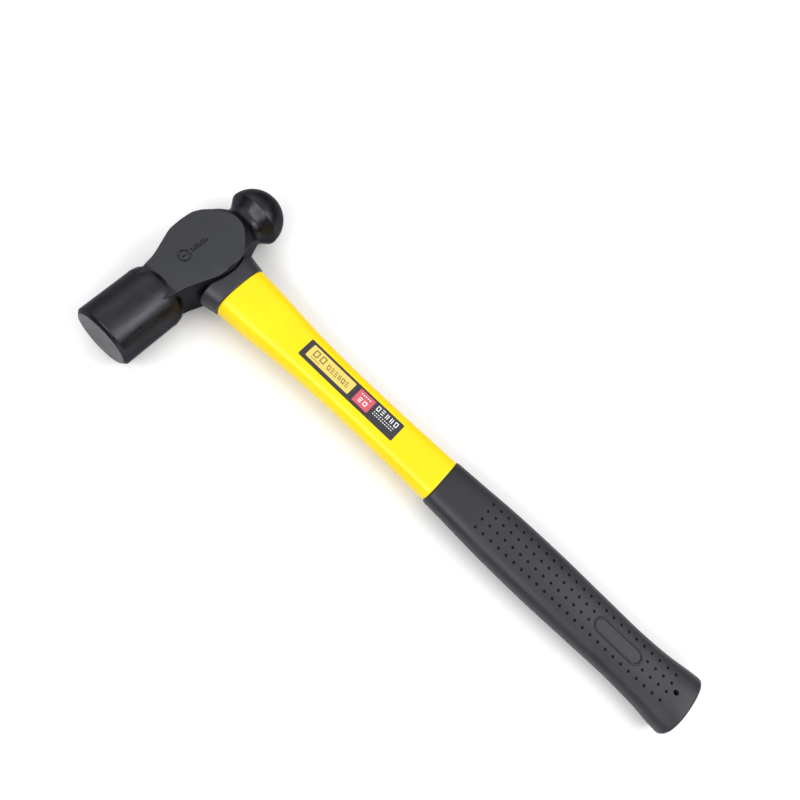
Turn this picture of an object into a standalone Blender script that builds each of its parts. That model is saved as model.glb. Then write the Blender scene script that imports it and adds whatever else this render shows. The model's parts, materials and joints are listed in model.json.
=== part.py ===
"""Ball peen hammer: a forged steel head bonded to a fibreglass-cored handle.

The hammer lies on its side.  +X runs down the handle from the head to the butt, +Y runs
along the head from the striking face to the ball, and +Z is square to the flat cheeks.
Each piece is modelled in metres about the point where the head's axis crosses the
handle's axis.  One empty carries them all, and puts the middle of the underside of the
whole hammer's bounding box at the world's origin.
"""

import math

import bmesh
import bpy
import numpy as np

# Clearances
BOND_GAP = 0.0003        # between two pieces that touch on the real hammer

# Head: round stretches are given as radii about the Y axis
FACE_Y = -0.0744
POLL_RADIUS = 0.0190
FACE_CHAMFER = 0.0020
SHOULDER_Y = -0.0385     # the poll is straight from its chamfer to here
POLL_SHOULDER = [(SHOULDER_Y, 0.0190), (-0.0360, 0.0186), (-0.0335, 0.0179),
                 (-0.0312, 0.0163), (-0.0295, 0.0140), (-0.0280, 0.0112)]
CROWN_X = 0.0204         # half the height of the head at the eye
CHEEK_Z = 0.0165         # half the thickness across the two flat cheeks
CHEEK_OUTLINE = [(SHOULDER_Y, 0.0100), (-0.0320, 0.0117), (-0.0260, 0.0126),
                 (-0.0200, 0.0146), (-0.0140, 0.0169), (-0.0080, 0.0190),
                 (-0.0030, 0.0200), (0.0020, CROWN_X), (0.0070, 0.0198),
                 (0.0120, 0.0180), (0.0160, 0.0161), (0.0200, 0.0151),
                 (0.0240, 0.0142), (0.0280, 0.0133), (0.0320, 0.0128)]
BALL_Y = 0.0404
BALL_RADIUS = 0.0176
WAIST_Y = 0.0318         # the narrowest place of the neck, past which the head is all turned
TURNED_NECK = [(0.0120, 0.0250), (0.0147, 0.0232), (0.0182, 0.0211), (0.0212, 0.0192),
               (0.0234, 0.0180), (0.0253, 0.0168), (0.0268, 0.0156), (0.0285, 0.0142),
               (0.0300, 0.0133), (WAIST_Y, 0.0129), (0.0338, 0.0131), (0.0356, 0.0141),
               (0.0376, 0.0155), (0.0390, 0.0165), (BALL_Y, BALL_RADIUS)]

# Eye: an oval hole along X, narrowest at its waist so the resin locks in it
EYE_WAIST = (0.0120, 0.0075)    # half-sizes along Y and Z
EYE_MOUTH = (0.0132, 0.0088)
EYE_EXPONENT = 2.3

# Handle: half-widths along Y at stations down X; the depth along Z follows the width
HANDLE_END_X = 0.3704
JACKET_DEPTH_RATIO = 0.61
GRIP_DEPTH_RATIO = 0.59
JACKET_EXPONENT = 2.62   # superellipse exponents of the cross-sections
GRIP_EXPONENT = 2.35
COLLAR_END_X = 0.0288
COLLAR_SEAT_X = 0.0177   # the collar's rim, where it stands clear of the head's crown
COLLAR_TOP_HALF_WIDTH = 0.0202
COLLAR_END_HALF_WIDTH = 0.0184
COLLAR_WEB_X = 0.0219    # the inner end of the collar's socket for the jacket
COLLAR_LIP = 0.0006      # depth of the collar's eased lower edge
GRIP_START_X = 0.1857
GRIP_LIP = (0.0012, 0.0008)     # length and depth of the grip's eased front edge
GRIP_CAVITY_END_X = 0.3415
BUTT_ROUND_X = 0.3667    # where the butt starts to round over
BUTT_EXPONENT = 3.5
BUTT_SLANT = 0.045       # lean of the butt's end: metres along X for each metre along Y
BUTT_SLANT_START_X = 0.3400
BUTT_DRIFT = 0.0004      # how far the butt's middle stands off the handle's axis, to the ball side
BUTT_REACH = 0.00035      # the slanted end reaches this far past its middle
JACKET_OUTLINE = [(COLLAR_END_X, 0.0178), (0.0400, 0.0174), (0.0550, 0.0163),
                  (0.0700, 0.0150), (0.1000, 0.0136), (0.1400, 0.0135),
                  (GRIP_START_X, 0.0143)]
GRIP_OUTLINE = [(GRIP_START_X, 0.0152), (0.2000, 0.0158), (0.2300, 0.0172),
                (0.2600, 0.0177), (0.3000, 0.0171), (0.3300, 0.0168), (0.3500, 0.0179),
                (0.3630, 0.0195), (BUTT_ROUND_X, 0.0198)]
JACKET_TENON = (0.0169, 0.0097)  # half-sizes of the jacket inside the collar
JACKET_SPIGOT = (0.0132, 0.0076) # half-sizes of the jacket inside the grip
CORE_HALF = (0.0095, 0.0053)     # half-sizes of the fibreglass rod
CORE_START_X = -0.0186
CORE_END_X = 0.3355
CORE_EXPONENT = 2.2
RESIN_X = (-0.0180, 0.0152)      # the resin stops just short of the crown
HANG_HOLE_X = 0.3576
HANG_HOLE_Y = 0.0008
HANG_HOLE_RADIUS = 0.0013

# Label: a thin film on the cheek side of the yellow shaft
LABEL_X = (0.0787, 0.1499)
LABEL_Y = (-0.0059, 0.0065)
LABEL_THICKNESS = 0.00025

# Facets
WALL_STEPS = 5           # along a quarter of a head section, on the side wall
CHEEK_STEPS = 6          # and on the cheek
HANDLE_SIDES = 40
EYE_SIDES = 32
JACKET_STATIONS = 17
GRIP_STATIONS = 21
BUTT_SHARES = (0.98, 0.94, 0.86, 0.74, 0.55, 0.30)
BALL_STEPS = 9
OVERCUT = 0.002          # how far a cutter passes the surface it opens
SMOOTH_ANGLE = math.radians(32)


def curve_value(knots, position):
    """Height of a smooth curve through (position, height) knots, by cubic Hermite spans."""
    places = [knot[0] for knot in knots]
    heights = [knot[1] for knot in knots]
    slopes = np.gradient(heights, places)
    position = min(max(position, places[0]), places[-1])
    span = min(max(int(np.searchsorted(places, position)) - 1, 0), len(knots) - 2)
    length = places[span + 1] - places[span]
    t = (position - places[span]) / length
    return float(
        heights[span] * (2 * t ** 3 - 3 * t ** 2 + 1)
        + heights[span + 1] * (3 * t ** 2 - 2 * t ** 3)
        + slopes[span] * length * (t ** 3 - 2 * t ** 2 + t)
        + slopes[span + 1] * length * (t ** 3 - t ** 2)
    )


def oval_ring(x, half_y, half_z, exponent, sides):
    """Points of a superellipse section of the handle, in the plane at x."""
    ring = []
    for step in range(sides):
        angle = 2 * math.pi * step / sides
        c, s = math.cos(angle), math.sin(angle)
        ring.append((x,
                     half_y * math.copysign(abs(c) ** (2 / exponent), c),
                     half_z * math.copysign(abs(s) ** (2 / exponent), s)))
    return ring


def loft(rings, start_point=None, end_point=None):
    """A closed mesh through equal rings, each end a flat cap or a fan to a point."""
    shape = bmesh.new()
    loops = [[shape.verts.new(point) for point in ring] for ring in rings]
    sides = len(loops[0])
    for near, far in zip(loops, loops[1:]):
        for i in range(sides):
            j = (i + 1) % sides
            shape.faces.new((near[i], near[j], far[j], far[i]))
    for loop, tip in ((loops[0], start_point), (loops[-1], end_point)):
        if tip is None:
            shape.faces.new(loop)
        else:
            apex = shape.verts.new(tip)
            for i in range(sides):
                shape.faces.new((loop[i], loop[(i + 1) % sides], apex))
    bmesh.ops.recalc_face_normals(shape, faces=shape.faces)
    return shape


def make_material(name, color, roughness, metallic=0.0):
    """A plain material for one piece."""
    material = bpy.data.materials.new(name)
    material.use_nodes = True
    shader = material.node_tree.nodes["Principled BSDF"]
    shader.inputs["Base Color"].default_value = (*color, 1.0)
    shader.inputs["Roughness"].default_value = roughness
    shader.inputs["Metallic"].default_value = metallic
    return material


def make_object(name, shape, parent, material=None):
    """Turn a bmesh into a named object under the hammer's empty."""
    mesh = bpy.data.meshes.new(name)
    shape.to_mesh(mesh)
    shape.free()
    mesh.shade_smooth()
    mesh.set_sharp_from_angle(angle=SMOOTH_ANGLE)
    thing = bpy.data.objects.new(name, mesh)
    bpy.context.scene.collection.objects.link(thing)
    thing.parent = parent
    if material:
        mesh.materials.append(material)
    return thing


def cut(target, cutter_name, shape):
    """Subtract a closed bmesh from an object."""
    cutter = make_object(cutter_name, shape, target.parent)
    cutter.hide_render = True
    cutter.display_type = "WIRE"
    modifier = target.modifiers.new(cutter_name, "BOOLEAN")
    modifier.operation = "DIFFERENCE"
    modifier.object = cutter


def head_radius(angle, y):
    """Distance from the head's axis to its surface: poll, cheeks, neck and ball in turn."""
    if y >= BALL_Y:
        return math.sqrt(max(BALL_RADIUS ** 2 - (y - BALL_Y) ** 2, 0.0))
    if y <= SHOULDER_Y:
        return min(POLL_RADIUS, POLL_RADIUS - FACE_CHAMFER + (y - FACE_Y))
    turned = curve_value(TURNED_NECK, y)
    if y >= WAIST_Y:
        return turned
    flat = CHEEK_Z / max(abs(math.sin(angle)), 1e-9)
    wall = curve_value(CHEEK_OUTLINE, y) / max(abs(math.cos(angle)), 1e-9)
    return max(curve_value(POLL_SHOULDER, y), min(flat, wall, turned))


def head_section(y):
    """One ring of the head, with points that stay on the corners of the cheeks."""
    corner = math.atan2(CHEEK_Z, curve_value(CHEEK_OUTLINE, y))
    quarter = [corner * i / WALL_STEPS for i in range(WALL_STEPS)]
    quarter += [corner + (math.pi / 2 - corner) * i / CHEEK_STEPS for i in range(CHEEK_STEPS)]
    mirrored = [math.pi - angle for angle in reversed(quarter[1:])]
    half = quarter + [math.pi / 2] + mirrored
    angles = half + [angle + math.pi for angle in half]
    return [(head_radius(a, y) * math.cos(a), y, head_radius(a, y) * math.sin(a))
            for a in angles]


def head_stations():
    """Places along the head where it needs a ring."""
    poll = [FACE_Y, FACE_Y + FACE_CHAMFER, SHOULDER_Y]
    shoulder = list(np.arange(-0.0370, -0.0275, 0.0015))
    cheeks = list(np.arange(-0.0260, 0.0175, 0.0030))
    nose = list(np.arange(0.0190, 0.0395, 0.0013))
    ball = [BALL_Y + BALL_RADIUS * math.sin(math.pi / 2 * i / BALL_STEPS)
            for i in range(BALL_STEPS)]
    return poll + shoulder + cheeks + nose + ball


def build_head(parent):
    """The forging, with the eye cut through it along X."""
    rings = [head_section(y) for y in head_stations()]
    shape = loft(rings, end_point=(0, BALL_Y + BALL_RADIUS, 0))
    steel = make_material("forged_steel", (0.035, 0.036, 0.040), 0.42, 0.85)
    head = make_object("head", shape, parent, steel)
    cut(head, "eye_cutter", loft(eye_rings(-CROWN_X - OVERCUT, CROWN_X + OVERCUT, 0.0)))


def eye_rings(start_x, end_x, shrink):
    """Rings down the eye, from its upper mouth through the waist to its lower mouth."""
    rings = []
    for x in np.linspace(start_x, end_x, 9):
        flare = min(abs(x) / CROWN_X, 1.0) ** 2
        half_y = EYE_WAIST[0] + (EYE_MOUTH[0] - EYE_WAIST[0]) * flare - shrink
        half_z = EYE_WAIST[1] + (EYE_MOUTH[1] - EYE_WAIST[1]) * flare - shrink
        rings.append(oval_ring(x, half_y, half_z, EYE_EXPONENT, EYE_SIDES))
    return rings


def core_shape(start_x, end_x, clearance):
    """The rod's outline from start to end, grown all round by a clearance."""
    half_y, half_z = CORE_HALF[0] + clearance, CORE_HALF[1] + clearance
    return loft([oval_ring(x, half_y, half_z, CORE_EXPONENT, EYE_SIDES)
                 for x in (start_x, end_x)])


def build_core(parent):
    """The pultruded rod that carries every blow from the head to the hand."""
    glass = make_material("fiberglass", (0.72, 0.62, 0.36), 0.5)
    make_object("fiberglass_core", core_shape(CORE_START_X, CORE_END_X, 0.0), parent, glass)


def build_resin(parent):
    """Epoxy between the rod and the eye."""
    epoxy = make_material("epoxy", (0.10, 0.085, 0.06), 0.25)
    resin = make_object("eye_resin", loft(eye_rings(*RESIN_X, BOND_GAP)), parent, epoxy)
    cut(resin, "resin_bore_cutter", core_shape(-CROWN_X, CROWN_X, BOND_GAP))


def saddle_shape():
    """Everything above the collar's rim: a block whose underside fits the head's crown."""
    reach = COLLAR_TOP_HALF_WIDTH + OVERCUT
    lower = [(max(curve_value(CHEEK_OUTLINE, y) + BOND_GAP, COLLAR_SEAT_X), y)
             for y in np.linspace(-reach, reach, 27)]
    outline = [(0.0, -reach)] + lower + [(0.0, reach)]
    return loft([[(x, y, z) for x, y in outline] for z in (-CHEEK_Z, CHEEK_Z)])


def build_collar(parent):
    """The collar that hides the joint between the head and the jacket."""
    blank_x = COLLAR_SEAT_X / 2
    profile = [(blank_x, COLLAR_TOP_HALF_WIDTH), (COLLAR_SEAT_X, COLLAR_TOP_HALF_WIDTH),
               (COLLAR_END_X - COLLAR_LIP, COLLAR_END_HALF_WIDTH),
               (COLLAR_END_X, COLLAR_END_HALF_WIDTH - COLLAR_LIP)]
    rings = [oval_ring(x, half_y, half_y * JACKET_DEPTH_RATIO, JACKET_EXPONENT, HANDLE_SIDES)
             for x, half_y in profile]
    rubber = make_material("collar_rubber", (0.028, 0.028, 0.030), 0.5)
    collar = make_object("neck_collar", loft(rings), parent, rubber)
    cut(collar, "saddle_cutter", saddle_shape())
    socket = [oval_ring(x, JACKET_TENON[0] + BOND_GAP, JACKET_TENON[1] + BOND_GAP,
                        JACKET_EXPONENT, HANDLE_SIDES)
              for x in (COLLAR_WEB_X, COLLAR_END_X + OVERCUT)]
    cut(collar, "socket_cutter", loft(socket))
    cut(collar, "collar_bore_cutter", core_shape(0.0, COLLAR_END_X, BOND_GAP))


def build_jacket(parent):
    """The moulded shaft, stepped down where the collar and the grip fit over it."""
    tenon_start = COLLAR_WEB_X + BOND_GAP
    tenon_end = COLLAR_END_X + BOND_GAP
    spigot_start = GRIP_START_X - BOND_GAP
    spigot_end = GRIP_CAVITY_END_X - BOND_GAP
    rings = [oval_ring(x, *JACKET_TENON, JACKET_EXPONENT, HANDLE_SIDES)
             for x in (tenon_start, tenon_end)]
    for x in np.linspace(tenon_end, spigot_start, JACKET_STATIONS):
        half_y = curve_value(JACKET_OUTLINE, x)
        rings.append(oval_ring(x, half_y, half_y * JACKET_DEPTH_RATIO, JACKET_EXPONENT,
                               HANDLE_SIDES))
    rings += [oval_ring(x, *JACKET_SPIGOT, JACKET_EXPONENT, HANDLE_SIDES)
              for x in (spigot_start, spigot_end)]
    yellow = make_material("jacket_plastic", (1.0, 0.80, 0.010), 0.32)
    jacket = make_object("handle_jacket", loft(rings), parent, yellow)
    cut(jacket, "jacket_bore_cutter", core_shape(0.0, CORE_END_X + BOND_GAP, BOND_GAP))


def slant(point):
    """Shear the butt so that its end leans, and move it a little, towards the ball side."""
    x, y, z = point
    share = min(max((x - BUTT_SLANT_START_X) / (BUTT_ROUND_X - BUTT_SLANT_START_X), 0.0), 1.0)
    return (x + BUTT_SLANT * share * y, y + BUTT_DRIFT * share, z)


def build_grip(parent):
    """The rubber sleeve over the shaft, solid at the butt, with a hole to hang it by."""
    lip_length, lip_depth = GRIP_LIP
    profile = [(GRIP_START_X, curve_value(GRIP_OUTLINE, GRIP_START_X) - lip_depth)]
    profile += [(x, curve_value(GRIP_OUTLINE, x))
                for x in np.linspace(GRIP_START_X + lip_length, BUTT_ROUND_X, GRIP_STATIONS)]
    butt_half_y = GRIP_OUTLINE[-1][1]
    for share in BUTT_SHARES:
        rise = (1 - share ** BUTT_EXPONENT) ** (1 / BUTT_EXPONENT)
        profile.append((BUTT_ROUND_X + (HANDLE_END_X - BUTT_ROUND_X) * rise, butt_half_y * share))
    rings = [oval_ring(x, half_y, half_y * GRIP_DEPTH_RATIO, GRIP_EXPONENT, HANDLE_SIDES)
             for x, half_y in profile]
    rings = [[slant(point) for point in ring] for ring in rings]
    rubber = make_material("grip_rubber", (0.030, 0.030, 0.032), 0.62)
    shape = loft(rings, end_point=(HANDLE_END_X, 0, 0))
    grip = make_object("grip_sleeve", shape, parent, rubber)
    cavity = [oval_ring(x, JACKET_SPIGOT[0] + BOND_GAP, JACKET_SPIGOT[1] + BOND_GAP,
                        JACKET_EXPONENT, HANDLE_SIDES)
              for x in (GRIP_START_X - OVERCUT, GRIP_CAVITY_END_X)]
    cut(grip, "cavity_cutter", loft(cavity))
    hole = bmesh.new()
    bmesh.ops.create_cone(hole, cap_ends=True, segments=16, radius1=HANG_HOLE_RADIUS,
                          radius2=HANG_HOLE_RADIUS, depth=2 * POLL_RADIUS)
    bmesh.ops.translate(hole, verts=hole.verts, vec=(HANG_HOLE_X, HANG_HOLE_Y, 0))
    cut(grip, "hang_hole_cutter", hole)


def shaft_height(x, y):
    """Height of the yellow shaft's surface above the handle's axis."""
    half_y = curve_value(JACKET_OUTLINE, x)
    share = 1 - (abs(y) / half_y) ** JACKET_EXPONENT
    return half_y * JACKET_DEPTH_RATIO * share ** (1 / JACKET_EXPONENT)


def build_label(parent):
    """The printed film, bent to the shaft."""
    xs = np.linspace(*LABEL_X, 9)
    ys = np.linspace(*LABEL_Y, 7)
    rings = []
    for x in xs:
        under = [(x, y, shaft_height(x, y) + BOND_GAP) for y in ys]
        over = [(x, y, shaft_height(x, y) + BOND_GAP + LABEL_THICKNESS) for y in reversed(ys)]
        rings.append(under + over)
    film = make_material("label_film", (0.052, 0.047, 0.062), 0.35)
    make_object("size_label", loft(rings), parent, film)


def main():
    for thing in list(bpy.data.objects):
        bpy.data.objects.remove(thing, do_unlink=True)
    frame = bpy.data.objects.new("hammer_frame", None)
    bpy.context.scene.collection.objects.link(frame)
    frame.location = (-(HANDLE_END_X + BUTT_REACH - CROWN_X) / 2,
                      -(FACE_Y + BALL_Y + BALL_RADIUS) / 2,
                      POLL_RADIUS)
    build_head(frame)
    build_resin(frame)
    build_core(frame)
    build_collar(frame)
    build_jacket(frame)
    build_label(frame)
    build_grip(frame)


main()
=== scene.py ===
import json
import math

import bmesh
import bpy
import numpy as np
from mathutils import Matrix, Vector

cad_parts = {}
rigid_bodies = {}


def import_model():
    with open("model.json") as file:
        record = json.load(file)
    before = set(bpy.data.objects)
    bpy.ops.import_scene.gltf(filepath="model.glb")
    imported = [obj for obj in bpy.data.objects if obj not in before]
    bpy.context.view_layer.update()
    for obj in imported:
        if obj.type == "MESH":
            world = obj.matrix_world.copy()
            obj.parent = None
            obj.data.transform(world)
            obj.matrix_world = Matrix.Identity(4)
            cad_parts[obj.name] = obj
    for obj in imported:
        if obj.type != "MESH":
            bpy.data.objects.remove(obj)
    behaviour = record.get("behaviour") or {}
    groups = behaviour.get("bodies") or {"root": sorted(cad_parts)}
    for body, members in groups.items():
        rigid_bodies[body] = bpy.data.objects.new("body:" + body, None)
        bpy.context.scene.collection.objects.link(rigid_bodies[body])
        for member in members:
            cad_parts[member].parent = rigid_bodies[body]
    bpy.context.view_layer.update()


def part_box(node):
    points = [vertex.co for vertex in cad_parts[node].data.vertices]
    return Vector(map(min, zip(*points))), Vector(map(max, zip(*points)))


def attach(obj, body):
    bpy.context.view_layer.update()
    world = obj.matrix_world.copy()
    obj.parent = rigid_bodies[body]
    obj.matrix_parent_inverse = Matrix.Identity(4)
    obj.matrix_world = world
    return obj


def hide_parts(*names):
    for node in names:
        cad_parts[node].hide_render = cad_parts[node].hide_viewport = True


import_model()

# The fixed frame.  Everything below is modelled in metres about the point where the
# head's axis crosses the handle's: +X down the handle, +Y to the ball, +Z off the cheek.
HEAD_LOW, HEAD_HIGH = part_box("head")
CORE_LOW, CORE_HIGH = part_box("fiberglass_core")
ORIGIN = Vector(((HEAD_LOW.x + HEAD_HIGH.x) / 2,
                 (CORE_LOW.y + CORE_HIGH.y) / 2,
                 (HEAD_LOW.z + HEAD_HIGH.z) / 2))

# Sizes that the frame gives
FACE_Y = HEAD_LOW.y - ORIGIN.y
BALL_TIP_Y = HEAD_HIGH.y - ORIGIN.y
POLL_RADIUS = (HEAD_HIGH.z - HEAD_LOW.z) / 2
CROWN_X = (HEAD_HIGH.x - HEAD_LOW.x) / 2
CORE_START_X = CORE_LOW.x - ORIGIN.x
CORE_END_X = CORE_HIGH.x - ORIGIN.x
COLLAR_END_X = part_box("neck_collar")[1].x - ORIGIN.x
JACKET_START_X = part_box("handle_jacket")[0].x - ORIGIN.x
JACKET_END_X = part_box("handle_jacket")[1].x - ORIGIN.x
GRIP_START_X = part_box("grip_sleeve")[0].x - ORIGIN.x
RESIN_TOP_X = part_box("eye_resin")[0].x - ORIGIN.x
RESIN_END_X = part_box("eye_resin")[1].x - ORIGIN.x
LABEL_X = [corner.x - ORIGIN.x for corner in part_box("size_label")]
LABEL_Y = [corner.y - ORIGIN.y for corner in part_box("size_label")]

# Head outlines
CHAMFER = 0.0020
SHOULDER_Y = -0.0385
POLL_SHOULDER = [(SHOULDER_Y, 0.0190), (-0.0360, 0.0186), (-0.0335, 0.0179),
                 (-0.0312, 0.0163), (-0.0295, 0.0140), (-0.0280, 0.0112)]
CHEEK_Z = 0.0165
CHEEK_OUTLINE = [(SHOULDER_Y, 0.0100), (-0.0320, 0.0117), (-0.0260, 0.0126),
                 (-0.0200, 0.0146), (-0.0140, 0.0169), (-0.0080, 0.0190),
                 (-0.0030, 0.0200), (0.0020, CROWN_X), (0.0070, 0.0198),
                 (0.0120, 0.0180), (0.0160, 0.0161), (0.0200, 0.0151),
                 (0.0240, 0.0142), (0.0280, 0.0133), (0.0320, 0.0128)]
BALL_RADIUS = 0.0176
BALL_Y = BALL_TIP_Y - BALL_RADIUS
TURNED_NECK = [(0.0120, 0.0250), (0.0147, 0.0232), (0.0182, 0.0211), (0.0212, 0.0192),
               (0.0234, 0.0180), (0.0253, 0.0168), (0.0268, 0.0156), (0.0285, 0.0142),
               (0.0300, 0.0133), (0.0318, 0.0129), (0.0338, 0.0131), (0.0356, 0.0141),
               (0.0376, 0.0155), (0.0390, 0.0165),
               (BALL_Y, BALL_RADIUS)]
WAIST_Y = 0.0318         # the neck's waist, past which the head is all turned
EDGE_ROUND = 0.0008      # softness of the long edges of the cheeks
NOSE_ROUND = 0.0002      # and of the edge that the turned neck leaves on them
CREASE_ROUND = 0.0009    # and of the crease behind the poll's shoulder
RIM_ROUND = 0.0005       # and of the ball's rim
EYE_WAIST = (0.0120, 0.0075)
EYE_MOUTH = (0.0132, 0.0088)
EYE_EXPONENT = 2.3

# Spacing of the head's sections, which are closest where its outline turns
SHOULDER_PITCH = 0.00028
CHEEK_PITCH = 0.0006
NOSE_PITCH = 0.00022
CHEEK_START_Y = -0.0260
NOSE_START_Y = 0.0172

# Raised mark on the cheek: a bar in a hexagonal ring, and a row of ticks
MARK_X = -0.0020
MARK_Y = -0.0130
MARK_REACH = 0.0031      # from the ring's middle to the middle of each side
MARK_RISE = 0.00060
MARK_BAR = 0.0010        # width of the ring's sides and of the bar
MARK_BAR_LENGTH = 0.0032
TICKS = 8
TICKS_Y = -0.0074
TICK_PITCH = 0.00150
TICK_WIDTH = 0.00092
TICK_LENGTH = 0.0029
TICK_CUT = 0.0011        # how much shorter every third tick is

# Handle outlines
JACKET_DEPTH_RATIO = 0.61
GRIP_DEPTH_RATIO = 0.59
JACKET_EXPONENT = 2.62
GRIP_EXPONENT = 2.35
CORE_EXPONENT = 2.2
CORE_HALF = (0.0095, 0.0053)
JACKET_TENON = (0.0169, 0.0097)
JACKET_SPIGOT = (0.0132, 0.0076)
COLLAR_SEAT_X = 0.0177
COLLAR_TOP_HALF_WIDTH = 0.0202
COLLAR_END_HALF_WIDTH = 0.0184
COLLAR_WEB_X = 0.0219
GRIP_CAVITY_END_X = 0.3415
BUTT_ROUND_X = 0.3667
HANDLE_END_X = 0.3704
BUTT_EXPONENT = 3.5
BUTT_SLANT = 0.045
BUTT_SLANT_START_X = 0.3400
BUTT_DRIFT = 0.0004      # the butt's middle stands this far off the handle's axis
JACKET_OUTLINE = [(COLLAR_END_X, 0.0178), (0.0400, 0.0174), (0.0550, 0.0163),
                  (0.0700, 0.0150), (0.1000, 0.0136), (0.1400, 0.0135),
                  (GRIP_START_X, 0.0143)]
GRIP_OUTLINE = [(GRIP_START_X, 0.0152), (0.2000, 0.0158), (0.2300, 0.0172),
                (0.2600, 0.0177), (0.3000, 0.0171), (0.3300, 0.0168), (0.3500, 0.0179),
                (0.3630, 0.0195), (BUTT_ROUND_X, 0.0198)]
FIT = 0.0001             # clearance between touching pieces of the visual model

# Grip pattern
DIMPLE_START_X = 0.2161
DIMPLE_PITCH = 0.0057
DIMPLE_COLUMNS = 25
DIMPLE_ROW_PITCH = 0.00583
DIMPLE_ROWS = (-1.5, -0.5, 0.5, 1.5)
PANEL_COLUMNS = range(15, 21)    # columns that the thumb panel takes from the inner rows
PANEL_X = 0.3162
PANEL_HALF_LENGTH = 0.0164
PANEL_HALF_WIDTH = 0.0043
BEAD_HALF_WIDTH = 0.00070
BEAD_RISE = 0.00085
HANG_HOLE_X = 0.3576
HANG_HOLE_Y = 0.0004
HANG_HOLE_RADIUS = 0.0013

# Label
FILM_THICKNESS = 0.00014
INK_THICKNESS = 0.00003
PRINT_GAP = 0.00001

SMOOTH_ANGLE = math.radians(35)
SLIVER = 0.0000015       # edges shorter than this are closed up after a cut
DOME_RAMP = (0.26, 0.74, 0.08, 1.08)    # heights between which the dome brightens, and how far


# ---------------------------------------------------------------- shapes

def curve(knots, positions):
    """Smooth curve through (position, height) knots, read at any positions."""
    places, heights = np.array(knots, float).T
    slopes = np.gradient(heights, places)
    x = np.clip(positions, places[0], places[-1])
    span = np.clip(np.searchsorted(places, x) - 1, 0, len(places) - 2)
    length = np.diff(places)[span]
    t = (x - places[span]) / length
    return (heights[span] * (2 * t ** 3 - 3 * t ** 2 + 1)
            + heights[span + 1] * (3 * t ** 2 - 2 * t ** 3)
            + slopes[span] * length * (t ** 3 - 2 * t ** 2 + t)
            + slopes[span + 1] * length * (t ** 3 - t ** 2))


def soft_min(a, b, reach):
    """The lesser of two heights, rounded over where they are within reach of each other."""
    share = np.clip(0.5 + 0.5 * (b - a) / reach, 0, 1)
    return b + (a - b) * share - reach * share * (1 - share)


def soft_max(a, b, reach):
    """The greater of two heights, with the crease between them filled."""
    return -soft_min(-a, -b, reach)


def ease(share):
    """Smooth step from 0 to 1."""
    share = np.clip(share, 0, 1)
    return share * share * (3 - 2 * share)


def cheek_half(y):
    """Half the width of the cheeks at y, with the outline's knots smoothed over."""
    near = [curve(CHEEK_OUTLINE, y + shift) for shift in (-0.0024, -0.0008, 0.0008, 0.0024)]
    return 0.15 * (near[0] + near[3]) + 0.35 * (near[1] + near[2])


def oval(half_y, half_z, exponent, sides):
    """(y, z) points round a superellipse."""
    angle = 2 * math.pi * np.arange(sides) / sides
    c, s = np.cos(angle), np.sin(angle)
    return np.stack([half_y * np.sign(c) * np.abs(c) ** (2 / exponent),
                     half_z * np.sign(s) * np.abs(s) ** (2 / exponent)], axis=1)


def oval_ring(x, half_y, half_z, exponent, sides):
    """A section of the handle at x, which may differ from point to point."""
    flat = oval(half_y, half_z, exponent, sides)
    return np.column_stack([np.broadcast_to(x, sides), flat])


def ring_mesh(name, rings, start_tip=None, end_tip=None, joined=False):
    """A closed mesh through equal rings, ended by fans to tips or joined end to start."""
    rings = np.asarray(rings, float)
    count, sides = rings.shape[:2]
    points = rings.reshape(-1, 3).tolist()
    faces = []
    for near in range(count if joined else count - 1):
        far = (near + 1) % count
        for i in range(sides):
            j = (i + 1) % sides
            faces.append((near * sides + i, near * sides + j,
                          far * sides + j, far * sides + i))
    for tip, base in ((start_tip, 0), (end_tip, (count - 1) * sides)):
        if tip is not None:
            points.append(tuple(tip))
            faces += [(base + i, base + (i + 1) % sides, len(points) - 1)
                      for i in range(sides)]
    mesh = bpy.data.meshes.new(name)
    mesh.from_pydata(points, [], faces)
    return outward(mesh)


def outward(mesh):
    """Point every face of a closed mesh out, and shade it smooth."""
    shape = bmesh.new()
    shape.from_mesh(mesh)
    bmesh.ops.recalc_face_normals(shape, faces=shape.faces)
    shape.to_mesh(mesh)
    shape.free()
    return mesh


def joined_mesh(name, meshes):
    """Several closed meshes as one."""
    shape = bmesh.new()
    for mesh in meshes:
        shape.from_mesh(mesh)
        bpy.data.meshes.remove(mesh)
    mesh = bpy.data.meshes.new(name)
    shape.to_mesh(mesh)
    shape.free()
    return mesh


def combined(mesh, other, operation):
    """The mesh with another closed mesh taken away from it or added to it."""
    scene = bpy.context.scene.collection.objects
    body = bpy.data.objects.new("body", mesh)
    tool = bpy.data.objects.new("tool", other)
    scene.link(body)
    scene.link(tool)
    modifier = body.modifiers.new("combine", "BOOLEAN")
    modifier.operation = operation
    modifier.solver = "MANIFOLD"
    modifier.object = tool
    bpy.context.view_layer.update()
    evaluated = body.evaluated_get(bpy.context.evaluated_depsgraph_get())
    made = bpy.data.meshes.new_from_object(evaluated)
    made.name = mesh.name
    bpy.data.objects.remove(body)
    bpy.data.objects.remove(tool)
    bpy.data.meshes.remove(mesh)
    bpy.data.meshes.remove(other)
    return made


def without_slivers(mesh):
    """The mesh with the needle-thin faces that cutting leaves closed up."""
    shape = bmesh.new()
    shape.from_mesh(mesh)
    bmesh.ops.dissolve_degenerate(shape, dist=SLIVER, edges=shape.edges[:])
    bmesh.ops.triangulate(shape, faces=[face for face in shape.faces if len(face.verts) > 4])
    shape.to_mesh(mesh)
    shape.free()
    return mesh


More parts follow.
